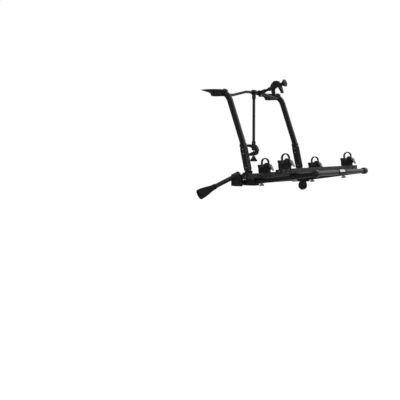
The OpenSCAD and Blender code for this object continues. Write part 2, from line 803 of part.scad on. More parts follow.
module cradle(i) {
    foot = rail_width / 2 - 1.5 * rail_wall - side_gap;
    neck = rail_width / 2 - rail_lip - side_gap;
    foot_bottom = rail_floor + side_gap - rail_height;
    foot_top = -rail_wall - side_gap;
    chamfer = 2 * side_gap;
    half = cradle_width / 2;
    outline = [
        [-neck, side_gap], [-half + flare, side_gap], [-half, 0.25 * cradle_height],
        [-half, 0.9 * cradle_height], [-cheek_outer + flare, cheek_hump], [-cheek_inner + flare, cheek_hump],
        [-0.72 * cheek_inner, 0.78 * cradle_height], [-0.3 * cheek_inner, tyre_trough + edge_r],
        [0.3 * cheek_inner, tyre_trough + edge_r], [0.8 * cheek_inner, 0.66 * cradle_height],
        [cheek_inner, cradle_height], [cheek_outer, cradle_height], [half, 0.84 * cradle_height],
        [cheek_outer - flare / 2, 0.6 * cradle_height], [half, 0.25 * cradle_height],
        [half - flare, side_gap], [neck, side_gap]
    ];
    bends = [0, mould_r, boss_r, flare_r, flare_r, flare_r, flare_r, throat_r,
        throat_r, flare_r, blade_r, blade_r, mould_r, flare_r, boss_r, mould_r, 0];
    window = [
        [cheek_outer - flare, 0.3 * cradle_height], [cheek_outer - flare, 0.6 * cradle_height],
        [1.06 * cheek_inner, 0.6 * cradle_height], [0.95 * cheek_inner, 0.42 * cradle_height],
        [0.75 * cheek_inner, 0.3 * cradle_height]
    ];
    base = [
        [-half + mould_r, side_gap], [half - mould_r, side_gap], [half - flare, tyre_trough],
        [0, tyre_trough - mould_r], [-half + flare, tyre_trough]
    ];
    cheek_length = cradle_length - 2 * mould_r;
    color("#1a1b1d") on_holder(i) difference() {
        union() {
            plate(0, cradle_length) polygon([
                [-neck, chamfer], [-neck, foot_top], [-foot, foot_top],
                [-foot, foot_bottom + chamfer], [-foot + chamfer, foot_bottom],
                [foot - chamfer, foot_bottom], [foot, foot_bottom + chamfer],
                [foot, foot_top], [neck, foot_top], [neck, chamfer]
            ]);
            plate(0, cheek_length) polygon(rounded(outline, bends));
            plate(0, cradle_length)
                polygon(rounded(base, [blade_r, blade_r, cast_r, crown_r, cast_r]));
        }
        for (end = [-1, 1], face = [-1, 1])
            mirror([0, face < 0 ? 1 : 0, 0])
                plate(end * cheek_length / 2, 0.3 * cheek_length) polygon(rounded(window, mould_r));
    }
}

module buckle(i) {
    back = -cradle_width / 2;
    outline = [
        [back - fit_gap / 3, buckle_base], [back - fit_gap / 3, buckle_base + buckle_height],
        [back - 0.55 * buckle_depth, buckle_base + buckle_height],
        [back - buckle_depth, buckle_base + 0.7 * buckle_height],
        [back - 0.8 * buckle_depth, buckle_base]
    ];
    inside = buckle_width - 2 * buckle_wall;
    color("#101112") on_holder(i) difference() {
        plate(0, buckle_width)
            polygon(rounded(outline, [edge_r, blade_r, boss_r, boss_r, mould_r]));
        translate([-inside / 2, back - 2 * buckle_depth, buckle_base - cut])
            cube([inside, 2 * buckle_depth - buckle_wall, buckle_height + 2 * cut]);
        translate([0, back - 0.6 * buckle_depth, buckle_base + 0.72 * buckle_height])
            rod(0, buckle_width + 2 * cut, lever_pin_r + running_gap);
    }
}

module lever(i) {
    width = buckle_width - 2 * buckle_wall - 2 * side_gap;
    back = 0.6 * buckle_depth - buckle_wall - strap_thickness - 2 * side_gap;
    outline = [
        [0.5 * back, 0.1 * buckle_height], [-0.3 * buckle_depth, 0.22 * buckle_height],
        [-0.52 * buckle_depth, 0.14 * buckle_height], [-1.2 * buckle_depth, -0.8 * buckle_height],
        [-1.34 * buckle_depth, -0.98 * buckle_height], [-1.12 * buckle_depth, -buckle_height],
        [-0.85 * buckle_depth, -0.74 * buckle_height], [-0.1 * buckle_depth, -0.1 * buckle_height],
        [0.5 * back, -0.12 * buckle_height]
    ];
    color("#2f3032") on_holder(i)
        translate([0, -cradle_width / 2 - 0.6 * buckle_depth, buckle_base + 0.72 * buckle_height]) {
            plate(0, width) polygon(rounded(outline,
                [blade_r, blade_r, cast_r, throat_r, blade_r, blade_r, throat_r, edge_r, edge_r]));
            rod(0, buckle_width, lever_pin_r);
        }
}

module strap(i) {
    top = cradle_height + strap_leg;
    r = (strap_outer + strap_inner) / 2;
    inner_end = 0.58 * cradle_height;
    color("#0e0f10") on_holder(i) translate([-strap_width / 2, 0, 0]) {
        translate([0, strap_inner - r, top]) rotate([90, 0, 90]) rotate_extrude(angle = 180)
            translate([r - strap_thickness / 2, 0]) square([strap_thickness, strap_width]);
        for (leg = [[strap_inner, inner_end], [-strap_outer, buckle_base - strap_tails[i]]])
            translate([0, leg[0] - strap_thickness / 2, leg[1]])
                cube([strap_width, strap_thickness, top - leg[1]]);
    }
}

// Puts a child at the crossbar's axis, with the arm hanging along -Z
module on_arm(x, turn) {
    translate([x, top_bar_middle.x, top_bar_middle.y]) rotate([turn, 0, 0]) children();
}

module arm_clamp(x, turn) {
    ring_r = top_bar_d / 2 + arm_ring_wall;
    neck_r = arm_tube_d / 2 + arm_socket_wall;
    color("#1a1b1d") on_arm(x, turn) difference() {
        union() {
            rod(0, arm_ring_width, ring_r);
            translate([0, 0, -arm_neck_length]) cylinder(r = neck_r, h = arm_neck_length);
            translate([-arm_ring_width / 2, 0, -0.4 * ring_r])
                cube([arm_ring_width, ring_r + arm_ring_wall, 0.8 * ring_r]);
        }
        rod(0, arm_ring_width + 2 * cut, top_bar_d / 2 + running_gap);
        translate([0, 0, -arm_neck_length - cut])
            cylinder(r = arm_tube_d / 2 + fit_gap, h = arm_neck_length - top_bar_d / 2 - running_gap);
        translate([-arm_ring_width, 0, -0.5 * rail_wall])
            cube([2 * arm_ring_width, 2 * ring_r, rail_wall]);
    }
}

module arm_tube(x, turn, reach) {
    start = top_bar_d / 2 + arm_socket_wall;
    length = reach - jaw_height() - start + 0.4 * arm_neck_length;
    color("#2a2b2d") on_arm(x, turn) translate([0, 0, -start - length])
        linear_extrude(length) pipe_section(arm_tube_d, tube_wall);
}

// Height of a fixed jaw above the middle of its claw
function jaw_height() = 1.62 * jaw_width;

module fixed_jaw(x, turn, reach) {
    h = jaw_height();
    neck_r = arm_tube_d / 2 + arm_socket_wall;
    ear = (jaw_width - jaw_width / 3) / 2 - side_gap;
    outline = [
        [-jaw_pin_back - 0.4 * jaw_knuckle_r, -jaw_knuckle_r], [-jaw_pin_back - jaw_knuckle_r, 0],
        [-jaw_pin_back + 0.2 * jaw_knuckle_r, 0.62 * h], [-neck_r, h], [neck_r, h],
        [2.4 * neck_r, 1.05 * h], [4.4 * neck_r, 0.98 * h], [4.8 * neck_r, 0.8 * h],
        [4.5 * neck_r, 0.66 * h], [2.4 * neck_r, 0.7 * h], [0.9 * neck_r, 0.5 * h],
        [0.45 * neck_r, 0.12 * h], [-jaw_pin_back + jaw_knuckle_r, -0.1 * h]
    ];
    bends = [boss_r, boss_r, flare_r, cast_r, cast_r, flare_r, boss_r, mould_r, mould_r,
        flare_r, flare_r, cast_r, boss_r];
    color("#1c1d1f") on_arm(x, turn) translate([0, 0, -reach]) difference() {
        union() {
            plate(0, jaw_width) polygon(rounded(outline, bends));
            cylinder(r = neck_r, h = h + 0.5 * arm_neck_length);
        }
        translate([0, 0, h - 0.4 * arm_neck_length - fit_gap])
            cylinder(r = arm_tube_d / 2 + fit_gap, h = arm_neck_length + cut);
        translate([0, 0, -h]) cylinder(r = spindle_r + fit_gap, h = 2 * h);
        translate([-jaw_width / 6 - side_gap, -2 * jaw_pin_back, -jaw_knuckle_r - cut])
            cube([jaw_width / 3 + 2 * side_gap, 2 * jaw_pin_back + 2 * neck_r,
                2 * jaw_knuckle_r + 2 * cut]);
        translate([0, -jaw_pin_back, 0]) rod(0, jaw_width + 2 * cut, jaw_pin_r - fit_gap);
    }
    color("silver") on_arm(x, turn) translate([0, -jaw_pin_back, -reach])
        rod(0, jaw_width, jaw_pin_r);
}

module moving_jaw(x, turn, reach) {
    h = jaw_height();
    neck_r = arm_tube_d / 2 + arm_socket_wall;
    tongue = jaw_width / 3;
    outline = [
        [-neck_r, -jaw_knuckle_r - 2 * side_gap], [0.6 * neck_r, -jaw_knuckle_r - side_gap],
        [1.4 * neck_r, -0.5 * h], [2.6 * neck_r, -0.62 * h], [4.3 * neck_r, -0.66 * h],
        [4.6 * neck_r, -0.78 * h], [4.2 * neck_r, -0.95 * h], [2.2 * neck_r, -0.98 * h],
        [0.5 * neck_r, -0.96 * h], [-neck_r, -0.86 * h], [-jaw_pin_back - 0.2 * jaw_knuckle_r, -0.6 * h],
        [-jaw_pin_back - 0.4 * jaw_knuckle_r, -jaw_knuckle_r - 4 * side_gap]
    ];
    bends = [blade_r, cast_r, throat_r, flare_r, mould_r, mould_r, boss_r, flare_r, boss_r,
        throat_r, throat_r, blade_r];
    color("#1c1d1f") on_arm(x, turn) translate([0, 0, -reach]) difference() {
        union() {
            plate(0, jaw_width) polygon(rounded(outline, bends));
            translate([0, -jaw_pin_back, 0]) rod(0, tongue, jaw_knuckle_r - side_gap);
            plate(0, tongue) polygon([
                [-jaw_pin_back - jaw_knuckle_r + side_gap, 0], [-jaw_pin_back + jaw_knuckle_r - side_gap, 0],
                [0.5 * neck_r, -jaw_knuckle_r - 3 * side_gap], [0.5 * neck_r, -0.5 * h],
                [-jaw_pin_back - 0.4 * jaw_knuckle_r, -0.5 * h]
            ]);
        }
        translate([0, -jaw_pin_back, 0]) rod(0, jaw_width + 2 * cut, jaw_pin_r + running_gap);
        translate([-spindle_r - side_gap, -4 * spindle_r, -2 * h])
            cube([2 * spindle_r + 2 * side_gap, 6 * spindle_r, 3 * h]);
    }
}

module knob(x, turn, reach) {
    small_r = 0.24 * knob_d;
    wide_r = knob_d / 2;
    top = -knob_gap;
    color("#161718") on_arm(x, turn) translate([0, 0, -reach]) {
        difference() {
            translate([0, 0, top]) rotate([180, 0, 0]) rotate_extrude() polygon([
                [0, 0], [small_r, 0], [1.1 * small_r, 0.18 * knob_length],
                [0.92 * wide_r, 0.78 * knob_length], [wide_r, 0.84 * knob_length],
                [wide_r, 0.94 * knob_length],
                [0.94 * wide_r, knob_length], [0, knob_length]
            ]);
            for (k = [0 : knob_flutes - 1])
                rotate([0, 0, 360 * (k + 0.5) / knob_flutes])
                    translate([1.12 * wide_r, 0, top - knob_length - cut])
                        cylinder(r = 0.22 * wide_r, h = knob_length);
        }
        translate([0, 0, top]) cylinder(r = spindle_r, h = knob_gap + 0.5 * jaw_height());
        translate([0, 0, top]) cylinder(r = small_r, h = knob_gap - 0.99 * jaw_height() - side_gap);
    }
}

hook(-1);  // hook_left
hook(1);  // hook_right
hook_pads();
upright(-1);  // upright_left
upright(1);  // upright_right
lower_sleeve(-1);  // lower_sleeve_left
lower_sleeve(1);  // lower_sleeve_right
top_crossbar();
lower_crossbar();
end_clamp(-1);  // end_clamp_left
end_clamp(1);  // end_clamp_right
clamp_bolts();
foot_arm(-1);  // foot_arm_left
foot_arm(1);  // foot_arm_right
foot(-1);  // foot_left
foot(1);  // foot_right
hinge_housing(-1);  // hinge_housing_left
hinge_housing(1);  // hinge_housing_right
hinge_pins();
latch_housing();
latch_lever();
side_arm(-1);  // side_arm_left
side_arm(1);  // side_arm_right
outer_bar();
centre_sleeve();
rail(inner_rail_place);  // inner_rail
rail(outer_rail_place);  // outer_rail
end_caps();
rail_saddles();
wing_bolt(-1, inner_rail_place);  // wing_bolt_inner_left
wing_bolt(1, inner_rail_place);  // wing_bolt_inner_right
wing_bolt(-1, outer_rail_place);  // wing_bolt_outer_left
wing_bolt(1, outer_rail_place);  // wing_bolt_outer_right
cradle(0);  // cradle_a
buckle(0);  // buckle_a
lever(0);  // lever_a
strap(0);  // strap_a
cradle(1);  // cradle_b
buckle(1);  // buckle_b
lever(1);  // lever_b
strap(1);  // strap_b
cradle(2);  // cradle_c
buckle(2);  // buckle_c
lever(2);  // lever_c
strap(2);  // strap_c
cradle(3);  // cradle_d
buckle(3);  // buckle_d
lever(3);  // lever_d
strap(3);  // strap_d
arm_clamp(long_arm_x, long_turn);  // long_arm_clamp
arm_tube(long_arm_x, long_turn, long_arm_reach);  // long_arm_tube
fixed_jaw(long_arm_x, long_turn, long_arm_reach);  // long_arm_jaw
moving_jaw(long_arm_x, long_turn, long_arm_reach);  // long_arm_moving_jaw
knob(long_arm_x, long_turn, long_arm_reach);  // long_arm_knob
arm_clamp(short_arm_x, short_turn);  // short_arm_clamp
arm_tube(short_arm_x, short_turn, short_arm_reach);  // short_arm_tube
fixed_jaw(short_arm_x, short_turn, short_arm_reach);  // short_arm_jaw
moving_jaw(short_arm_x, short_turn, short_arm_reach);  // short_arm_moving_jaw
knob(short_arm_x, short_turn, short_arm_reach);  // short_arm_knob
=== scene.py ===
"""Looks of the folding bike rack: finishes, small fasteners, soft pads, straps and the studio.

Places are in the part's own frame, with +X to the right, +Y to the back, which the hooks and
the feet face, and +Z up. Small forms are drawn in millimetres, in the local lines of what
carries them.
"""
import json
import math

import bmesh
import bpy
from mathutils import Matrix, Vector

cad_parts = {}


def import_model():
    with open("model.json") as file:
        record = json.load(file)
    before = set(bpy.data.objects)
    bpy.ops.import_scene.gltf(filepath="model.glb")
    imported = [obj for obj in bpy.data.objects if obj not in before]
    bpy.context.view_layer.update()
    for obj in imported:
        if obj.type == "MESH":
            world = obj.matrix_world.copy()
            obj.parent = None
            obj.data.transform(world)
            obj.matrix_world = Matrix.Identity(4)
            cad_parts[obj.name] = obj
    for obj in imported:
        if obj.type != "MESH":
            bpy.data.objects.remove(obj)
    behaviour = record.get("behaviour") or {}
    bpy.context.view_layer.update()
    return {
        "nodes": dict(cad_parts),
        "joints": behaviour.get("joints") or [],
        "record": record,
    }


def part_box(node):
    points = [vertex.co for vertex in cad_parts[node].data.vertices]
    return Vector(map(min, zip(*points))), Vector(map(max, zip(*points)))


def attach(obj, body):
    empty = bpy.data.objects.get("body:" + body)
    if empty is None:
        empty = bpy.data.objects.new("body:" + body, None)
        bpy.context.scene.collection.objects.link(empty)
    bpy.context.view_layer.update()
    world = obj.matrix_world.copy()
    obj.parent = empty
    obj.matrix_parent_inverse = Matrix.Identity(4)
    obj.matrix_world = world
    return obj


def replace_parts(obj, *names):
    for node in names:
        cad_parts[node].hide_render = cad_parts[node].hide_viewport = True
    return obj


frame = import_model()

METRES_PER_MM = 0.001
MM_PER_METRE = 1000
MM = Matrix.Scale(METRES_PER_MM, 4)
RIGHT, BACK, UP = Vector((1, 0, 0)), Vector((0, 1, 0)), Vector((0, 0, 1))
JOINTS = {joint["name"]: joint for joint in frame["joints"]}
HOLDERS = "abcd"
ARMS = ("long", "short")
RAILS = ("inner_rail", "outer_rail")
SIDES = ("left", "right")

# Sizes of the solids that the small pieces fit, in millimetres
TUBE_WALL = 3
STRAP_WIDTH = 22
STRAP_THICKNESS = 3
RAIL_FLOOR = 4
JAW_WIDTH = 34

# Height of the arm clamps' ears over the middle of their slit
CLAMP_EAR = 9.8

# The lever's pin, outwards and upwards from the rail's top in the middle of its holder
LEVER_OUT = 63.2
LEVER_UP = 56.56

# Height of the claws' root above the lowest point of the fixed jaw
JAW_ROOT = 13

# Lean of the lower sleeves to the back
SLEEVE_LEAN = math.radians(13)

# Turn of the flat sides of the wing bolts' wings from the right, in degrees
WING_TURN = 35


# Places on the object

def axes(origin, x, z):
    """Local lines in millimetres, with x and z along the given directions."""
    z = Vector(z).normalized()
    y = z.cross(Vector(x)).normalized()
    turn = Matrix((y.cross(z), y, z)).transposed().to_4x4()
    return Matrix.Translation(Vector(origin)) @ turn @ MM


def points_of(node):
    return [vertex.co for vertex in frame["nodes"][node].data.vertices]


def local_points(node, place):
    """A node's points in the local lines of a place."""
    back = place.inverted()
    return [back @ point for point in points_of(node)]


def local_box(node, place):
    """Lowest and highest corners of a node, in the local lines of a place."""
    points = local_points(node, place)
    low = Vector(min(point[i] for point in points) for i in range(3))
    high = Vector(max(point[i] for point in points) for i in range(3))
    return low, high


def middle_of(node, place):
    low, high = local_box(node, place)
    return (low + high) / 2


def joint_place(name, z=None):
    """A joint's place, with z along its axis where no other direction is given."""
    joint = JOINTS[name]
    return axes(joint["pos_m"], RIGHT, z or joint["axis"])


# The platform's fold, with z along the wing bolts, and the turn and scale of its lines
PLATFORM = joint_place("platform_fold", z=JOINTS["wing_bolt_inner_left_turn"]["axis"])
PLATFORM_TURN = PLATFORM.to_3x3()


def holder_place(holder):
    """Middle of the rail's top under a holder."""
    pivot = Vector(JOINTS[f"lever_{holder}_lift"]["pos_m"])
    return axes(pivot + PLATFORM_TURN @ Vector((0, LEVER_OUT, -LEVER_UP)), RIGHT,
                PLATFORM_TURN @ UP)


def arm_place(arm):
    """Top crossbar's axis at an arm, which runs from it along the local -z."""
    knob_axis = Vector(JOINTS[f"{arm}_knob_turn"]["axis"])
    return axes(JOINTS[f"{arm}_arm_swing"]["pos_m"], RIGHT, -knob_axis)


def foot_place(side):
    """Middle of a foot arm, with z along it towards its foot."""
    axis = JOINTS[f"foot_arm_{side}_slide"]["axis"]
    points = points_of(f"foot_arm_{side}")
    return axes(sum(points, Vector()) / len(points), UP, axis)


def sleeve_place(side):
    """Middle of a lower sleeve, with x to the right and z up along it."""
    low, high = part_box(f"lower_sleeve_{side}")
    upwards = (0, math.sin(SLEEVE_LEAN), math.cos(SLEEVE_LEAN))
    return axes((low + high) / 2, RIGHT, upwards)


def shifted(place, x=0.0, y=0.0, z=0.0, turn=0.0, axis="Z"):
    """A place moved in its own lines and then turned, in degrees."""
    return place @ Matrix.Translation((x, y, z)) @ Matrix.Rotation(math.radians(turn), 4, axis)


# Outlines and forms

def arc_angles(start, end, steps):
    """Angles from start to end in degrees, given in radians."""
    return [math.radians(start + (end - start) * k / steps) for k in range(steps + 1)]


def full_turn(steps):
    return [2 * math.pi * k / steps for k in range(steps)]


def circle(r, steps):
    return [(r * math.cos(a), r * math.sin(a)) for a in arc_angles(0, 360, steps)[:-1]]


def loop_path(middle, top, r, right_end, left_end, steps):
    """Loop in the local y and z: up on the right, over a half circle and down on the left."""
    arch = [(middle + r * math.cos(a), top + r * math.sin(a)) for a in arc_angles(0, 180, steps)]
    return [(middle + r, right_end), *arch, (middle - r, left_end)]


def hexagon_reach(angle):
    """Distance of a unit hexagon's side from its middle at an angle."""
    part = (angle % (math.pi / 3)) - math.pi / 6
    return math.cos(math.pi / 6) / math.cos(part)


def smooth_path(points, steps=8):
    """Curve through points, with more points between each two."""
    path = []
    padded = [points[0], *points, points[-1]]
    for a, b, c, d in zip(padded, padded[1:], padded[2:], padded[3:]):
        a, b, c, d = Vector(a), Vector(b), Vector(c), Vector(d)
        for k in range(steps):
            t = k / steps
            path.append(0.5 * (2 * b + (c - a) * t + (2 * a - 5 * b + 4 * c - d) * t * t
                               + (3 * b - a - 3 * c + d) * t ** 3))
    return [*path, Vector(points[-1])]


def even_path(points, pitch):
    """The same path with its points at an even distance."""
    lengths = [0.0]
    for a, b in zip(points, points[1:]):
        lengths.append(lengths[-1] + (Vector(b) - Vector(a)).length)
    count = max(1, round(lengths[-1] / pitch))
    out, i = [], 0
    for k in range(count + 1):
        goal = lengths[-1] * k / count
        while i < len(points) - 2 and lengths[i + 1] < goal:
            i += 1
        span = lengths[i + 1] - lengths[i] or 1.0
        out.append(Vector(points[i]).lerp(Vector(points[i + 1]), (goal - lengths[i]) / span))
    return out


class Shape:
    """A mesh made of turned, extruded and ribbed forms, all of one material."""

    def __init__(self):
        self.mesh = bmesh.new()

    def skin(self, rings, place, joined=False):
        """Joins rings that have the same number of points, and closes the two ends."""
        loops = [[self.mesh.verts.new(place @ Vector(point)) for point in ring] for ring in rings]
        following = loops[1:] + loops[:1] if joined else loops[1:]
        for a, b in zip(loops, following):
            for i in range(len(a)):
                j = (i + 1) % len(a)
                self.mesh.faces.new((a[i], a[j], b[j], b[i]))
        if not joined:
            self.mesh.faces.new(loops[0][::-1])
            self.mesh.faces.new(loops[-1])

    def turned(self, profile, place, steps=32, hexed=(), joined=False):
        """Turns a profile of (radius, height) about the local z, six-sided at hexed points."""
        angles = arc_angles(0, 360, steps)[:-1]
        rings = []
        for i, (r, z) in enumerate(profile):
            reach = [r * hexagon_reach(a) if i in hexed else r for a in angles]
            rings.append([(q * math.cos(a), q * math.sin(a), z) for q, a in zip(reach, angles)])
        self.skin(rings, place, joined)

    def block(self, outline, place, width):
        """Outline in the local y and z, extruded along x about the middle."""
        self.skin([[(x, y, z) for y, z in outline] for x in (-width / 2, width / 2)], place)

    def ring(self, r, thickness, place, steps=48):
        """Round ring about the local z."""
        profile = [(r + out, up) for out, up in circle(thickness, steps=10)]
        self.turned(profile, place, steps, joined=True)

    def band(self, path, place, width, thickness, tooth=0.0, margin=0.0, taper=0.0, pitch=2):
        """Flat band along a path in the local y and z, with teeth across its outer face.

        The teeth stay a margin away from its sides, and each slopes down over as many points
        as the pitch says. The taper is what each side loses at the band's two ends.
        """
        half, low, high = width / 2, -thickness / 2, thickness / 2 - tooth
        tooth_slope = 0.3
        rings = []
        for i, point in enumerate(path):
            ahead = Vector(path[min(i + 1, len(path) - 1)]) - Vector(path[max(i - 1, 0)])
            normal = Vector((ahead.y, -ahead.x)).normalized()
            inside = 0 < i < len(path) - 1
            top = high + (tooth * (1 - (i % pitch) / max(1, pitch - 1)) if inside else 0)
            w = half - (taper if not inside else 0)
            inner = max(w - margin, w / 2)
            section = [(-w, low), (w, low), (w, high), (inner, high),
                       (inner - tooth_slope, top), (-inner + tooth_slope, top),
                       (-inner, high), (-w, high)]
            rings.append([(x, point[0] + normal.x * d, point[1] + normal.y * d)
                          for x, d in section])
        self.skin(rings, place)

    def socket_screw(self, place, r, height):
        """Round screw head with a six-sided socket in its top."""
        profile = [(r, 0), (r, 0.8 * height), (0.88 * r, height), (0.55 * r, height),
                   (0.5 * r, 0.94 * height), (0.5 * r, 0.35 * height), (0.1 * r, 0.3 * height)]
        self.turned(profile, place, steps=36, hexed=(3, 4, 5))

    def hex_nut(self, place, r, height):
        """Six-sided nut on a washer, with the end of its screw."""
        washer = [(1.45 * r, 0), (1.45 * r, 1.0), (1.4 * r, 1.3), (0.5 * r, 1.3)]
        nut = [(r, 1.2), (r, height), (0.84 * r, height + 0.7), (0.5 * r, height + 0.7)]
        screw_end = [(0.5 * r, height), (0.5 * r, height + 1.8), (0.4 * r, height + 2.4)]
        self.turned(washer, place, steps=36)
        self.turned(nut, place, steps=36, hexed=(0, 1))
        self.turned(screw_end, place)

    def done(self, name, body, slot, bevel=0.0, sharp=32):
        """Makes the object, which rides on a body and takes a material slot's finish."""
        bmesh.ops.recalc_face_normals(self.mesh, faces=self.mesh.faces)
        data = bpy.data.meshes.new(name)
        self.mesh.to_mesh(data)
        self.mesh.free()
        data.shade_smooth()
        data.set_sharp_from_angle(angle=math.radians(sharp))
        piece = bpy.data.objects.new(name, data)
        bpy.context.scene.collection.objects.link(piece)
        piece.data.materials.append(FINISHES[slot])
        if bevel:
            edge = piece.modifiers.new("edges", "BEVEL")
            edge.width, edge.segments = bevel * METRES_PER_MM, 2
            edge.limit_method, edge.angle_limit = "ANGLE", math.radians(sharp)
        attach(piece, body)
        return piece


# Materials

class Value:
    """A shader socket that takes part in sums like a number."""

    def __init__(self, nodes, socket):
        self.nodes, self.socket = nodes, socket

    def __add__(self, other):
        return self.nodes.math("ADD", self, other)

    def __sub__(self, other):
        return self.nodes.math("SUBTRACT", self, other)

    def __rsub__(self, other):
        return self.nodes.math("SUBTRACT", other, self)

    def __mul__(self, other):
        return self.nodes.math("MULTIPLY", self, other)

    __radd__ = __add__
    __rmul__ = __mul__

    def at_least(self, other):
        return self.nodes.math("MAXIMUM", self, other)

    def at_most(self, other):
        return self.nodes.math("MINIMUM", self, other)


class Nodes:
    """The node tree of a material or of the world."""

    def __init__(self, owner):
        owner.use_nodes = True
        self.tree = owner.node_tree

    def add(self, kind, *inputs, out=0, feeds=None, **settings):
        """Adds a node, sets its properties and feeds its sockets, in order or by name."""
        node = self.tree.nodes.new(kind)
        for key, value in settings.items():
            setattr(node, key, value)
        self.feed(node, dict(enumerate(inputs)) | (feeds or {}))
        return Value(self, node.outputs[out])

    def feed(self, node, feeds):
        """Links values to a node's sockets, and writes plain numbers and colours into them."""
        for key, value in feeds.items():
            socket = node.inputs[key]
            if isinstance(value, Value):
                self.tree.links.new(value.socket, socket)
            else:
                socket.default_value = value

    def math(self, kind, a, b):
        return self.add("ShaderNodeMath", a, b, operation=kind)

    def ray(self, kind):
        """1 where the ray is of a kind, such as Camera or Glossy, and 0 elsewhere."""
        return self.add("ShaderNodeLightPath", out=f"Is {kind} Ray")


class Finish(Nodes):
    """A material, with the textures that its surface is made of."""

    # Sockets of the mix node that hold colours
    FIRST_COLOUR, SECOND_COLOUR, MIXED_COLOUR = 6, 7, 2

    def __init__(self, name):
        self.material = bpy.data.materials.new(name)
        super().__init__(self.material)
        self.surface = self.tree.nodes["Principled BSDF"]
        self.place = self.add("ShaderNodeTexCoord", out="Object")

    def noise(self, scale, detail=2.0, stretch=(1, 1, 1)):
        """Noise between 0 and 1; the scale is in spots per metre."""
        place = self.add("ShaderNodeMapping", self.place, feeds={"Scale": stretch})
        return self.add("ShaderNodeTexNoise", out="Fac",
                        feeds={"Vector": place, "Scale": scale, "Detail": detail})

    def cells(self, scale):
        """Distance from the middle of round cells; the scale is in cells per metre."""
        return self.add("ShaderNodeTexVoronoi", out="Distance",
                        feeds={"Vector": self.place, "Scale": scale})

    def blend(self, factor, a, b):
        """Colour between two colours, the first where the factor is 0."""
        return self.add("ShaderNodeMix", out=self.MIXED_COLOUR, data_type="RGBA",
                        feeds={"Factor": factor, self.FIRST_COLOUR: (*a, 1),
                               self.SECOND_COLOUR: (*b, 1)})

    def bump(self, height, depth):
        """Surface relief whose depth is in metres."""
        return self.add("ShaderNodeBump", out="Normal",
                        feeds={"Height": height, "Distance": depth, "Strength": 1.0})


SMUDGES_PER_METRE = 11
SMUDGE_DETAIL = 5
GRAIN_DETAIL = 3

# Shares of the smudges and the grain in the tone, and what is taken off to darken it
SMUDGE_TONE = 0.65
GRAIN_TONE = 0.35
DARKER = 0.3

# Shares of the smudges and the grain in the roughness, and its least value
SMUDGE_SHEEN = 0.16
GRAIN_SHEEN = 0.1
LEAST_ROUGHNESS = 0.05
MEAN_NOISE = 0.5

# Share of the pits in the relief of a pitted surface, which the grain makes up
PIT_SHARE = 0.5


def coated(name, dark, light, roughness, grain, depth, metallic=0.0, specular=0.5,
           stretch=(1, 1, 1), pits=None):
    """Coated, moulded or drawn surface: two close tones, faint smudges and a fine grain.

    The grain and the pits are in spots per metre, and the depth of the relief is in metres.
    """
    nodes = Finish(name)
    smudge = nodes.noise(SMUDGES_PER_METRE, SMUDGE_DETAIL)
    fine = nodes.noise(grain, GRAIN_DETAIL, stretch)
    height = fine
    if pits:
        height = fine * (1 - PIT_SHARE) + nodes.cells(pits) * PIT_SHARE
    shade = smudge * SMUDGE_TONE + fine * GRAIN_TONE - DARKER
    sheen = (smudge - MEAN_NOISE) * SMUDGE_SHEEN + (fine - MEAN_NOISE) * GRAIN_SHEEN + roughness
    nodes.feed(nodes.surface, {
        "Base Color": nodes.blend(shade.at_least(0).at_most(1), dark, light),
        "Roughness": sheen.at_least(LEAST_ROUGHNESS).at_most(1),
        "Metallic": metallic,
        "Specular IOR Level": specular,
        "Normal": nodes.bump(height, depth),
    })
    return nodes.material


def grey(level, tint=0.0):
    """Grey with a faint cool tint."""
    return (level * (1 - tint), level, level * (1 + 1.6 * tint))


FINISHES = {
    "black_tube": coated("black_tube", grey(0.003, 0.03), grey(0.0065, 0.04), roughness=0.3,
                         grain=900, depth=0.00005, specular=0.15),
    "black_casting": coated("black_casting", grey(0.004, 0.02), grey(0.009, 0.03),
                            roughness=0.54, grain=700, depth=0.00022, specular=0.16, pits=520),
    "black_rail": coated("black_rail", grey(0.003, 0.03), grey(0.006, 0.04), roughness=0.36,
                         grain=420, depth=0.00005, specular=0.12, stretch=(0.03, 1, 1)),
    "black_moulding": coated("black_moulding", grey(0.004, 0.02), grey(0.008, 0.02),
                             roughness=0.5, grain=1500, depth=0.00012, specular=0.16,
                             pits=1300),
    "black_rubber": coated("black_rubber", grey(0.0035), grey(0.007), roughness=0.78,
                           grain=800, depth=0.0002, specular=0.1),
    "grey_rubber": coated("grey_rubber", grey(0.012), grey(0.02), roughness=0.7,
                          grain=800, depth=0.00016, specular=0.14),
    "black_strap": coated("black_strap", grey(0.0035), grey(0.007, 0.02), roughness=0.6,
                          grain=1100, depth=0.00008, specular=0.08),
    "grey_lever": coated("grey_lever", grey(0.10, 0.05), grey(0.15, 0.06), roughness=0.46,
                         grain=1500, depth=0.0001, specular=0.3, pits=1300),
    "wing_grey": coated("wing_grey", grey(0.09, 0.03), grey(0.15, 0.03), roughness=0.5,
                        grain=700, depth=0.00018, metallic=0.6, pits=600),
    "bright_steel": coated("bright_steel", grey(0.16, 0.01), grey(0.24, 0.01), roughness=0.36,
                           grain=500, depth=0.00006, metallic=1.0, stretch=(1, 1, 0.1)),
    "pale_plate": coated("pale_plate", grey(0.55), grey(0.66), roughness=0.42,
                         grain=900, depth=0.00003),
}


# Pieces

def dress_nodes():
    """Gives every solid its finish."""
    for part in frame["record"]["subparts"]:
        data = frame["nodes"][part["node"]].data
        data.materials.clear()
        data.materials.append(FINISHES[part["material_slot"]])


